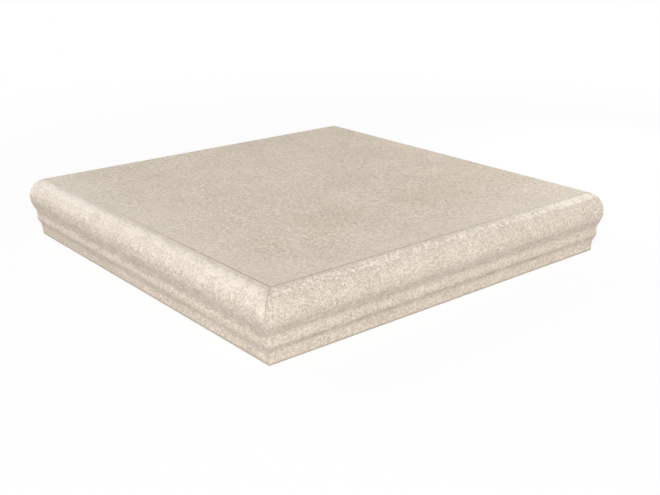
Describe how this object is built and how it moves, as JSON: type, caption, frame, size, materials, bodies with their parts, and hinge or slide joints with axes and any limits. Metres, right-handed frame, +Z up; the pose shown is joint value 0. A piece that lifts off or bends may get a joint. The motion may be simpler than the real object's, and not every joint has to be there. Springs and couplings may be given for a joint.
{
  "type": "corner step tile",
  "caption": "Square corner step tile in stone-look porcelain, with moulded bullnose nosings along its adjoining front edges, mitred at the outer corner.",
  "frame": {"origin": "middle of the square plan, on the floor that the nosings stand on", "axes": "+Z up out of the tread; the nosed edges are on the -X and -Y sides and the sawn edges on the +X and +Y sides"},
  "size_m": [0.33, 0.33, 0.0474],
  "materials": {
    "tread_porcelain": "matt, finely mottled warm beige stone look",
    "nosing_porcelain": "matt, speckled warm beige stone look"
  },
  "bodies": {
    "root": {"tread_slab": "tread_porcelain", "nosing_left": "nosing_porcelain", "nosing_right": "nosing_porcelain"}
  },
  "joints": []
}
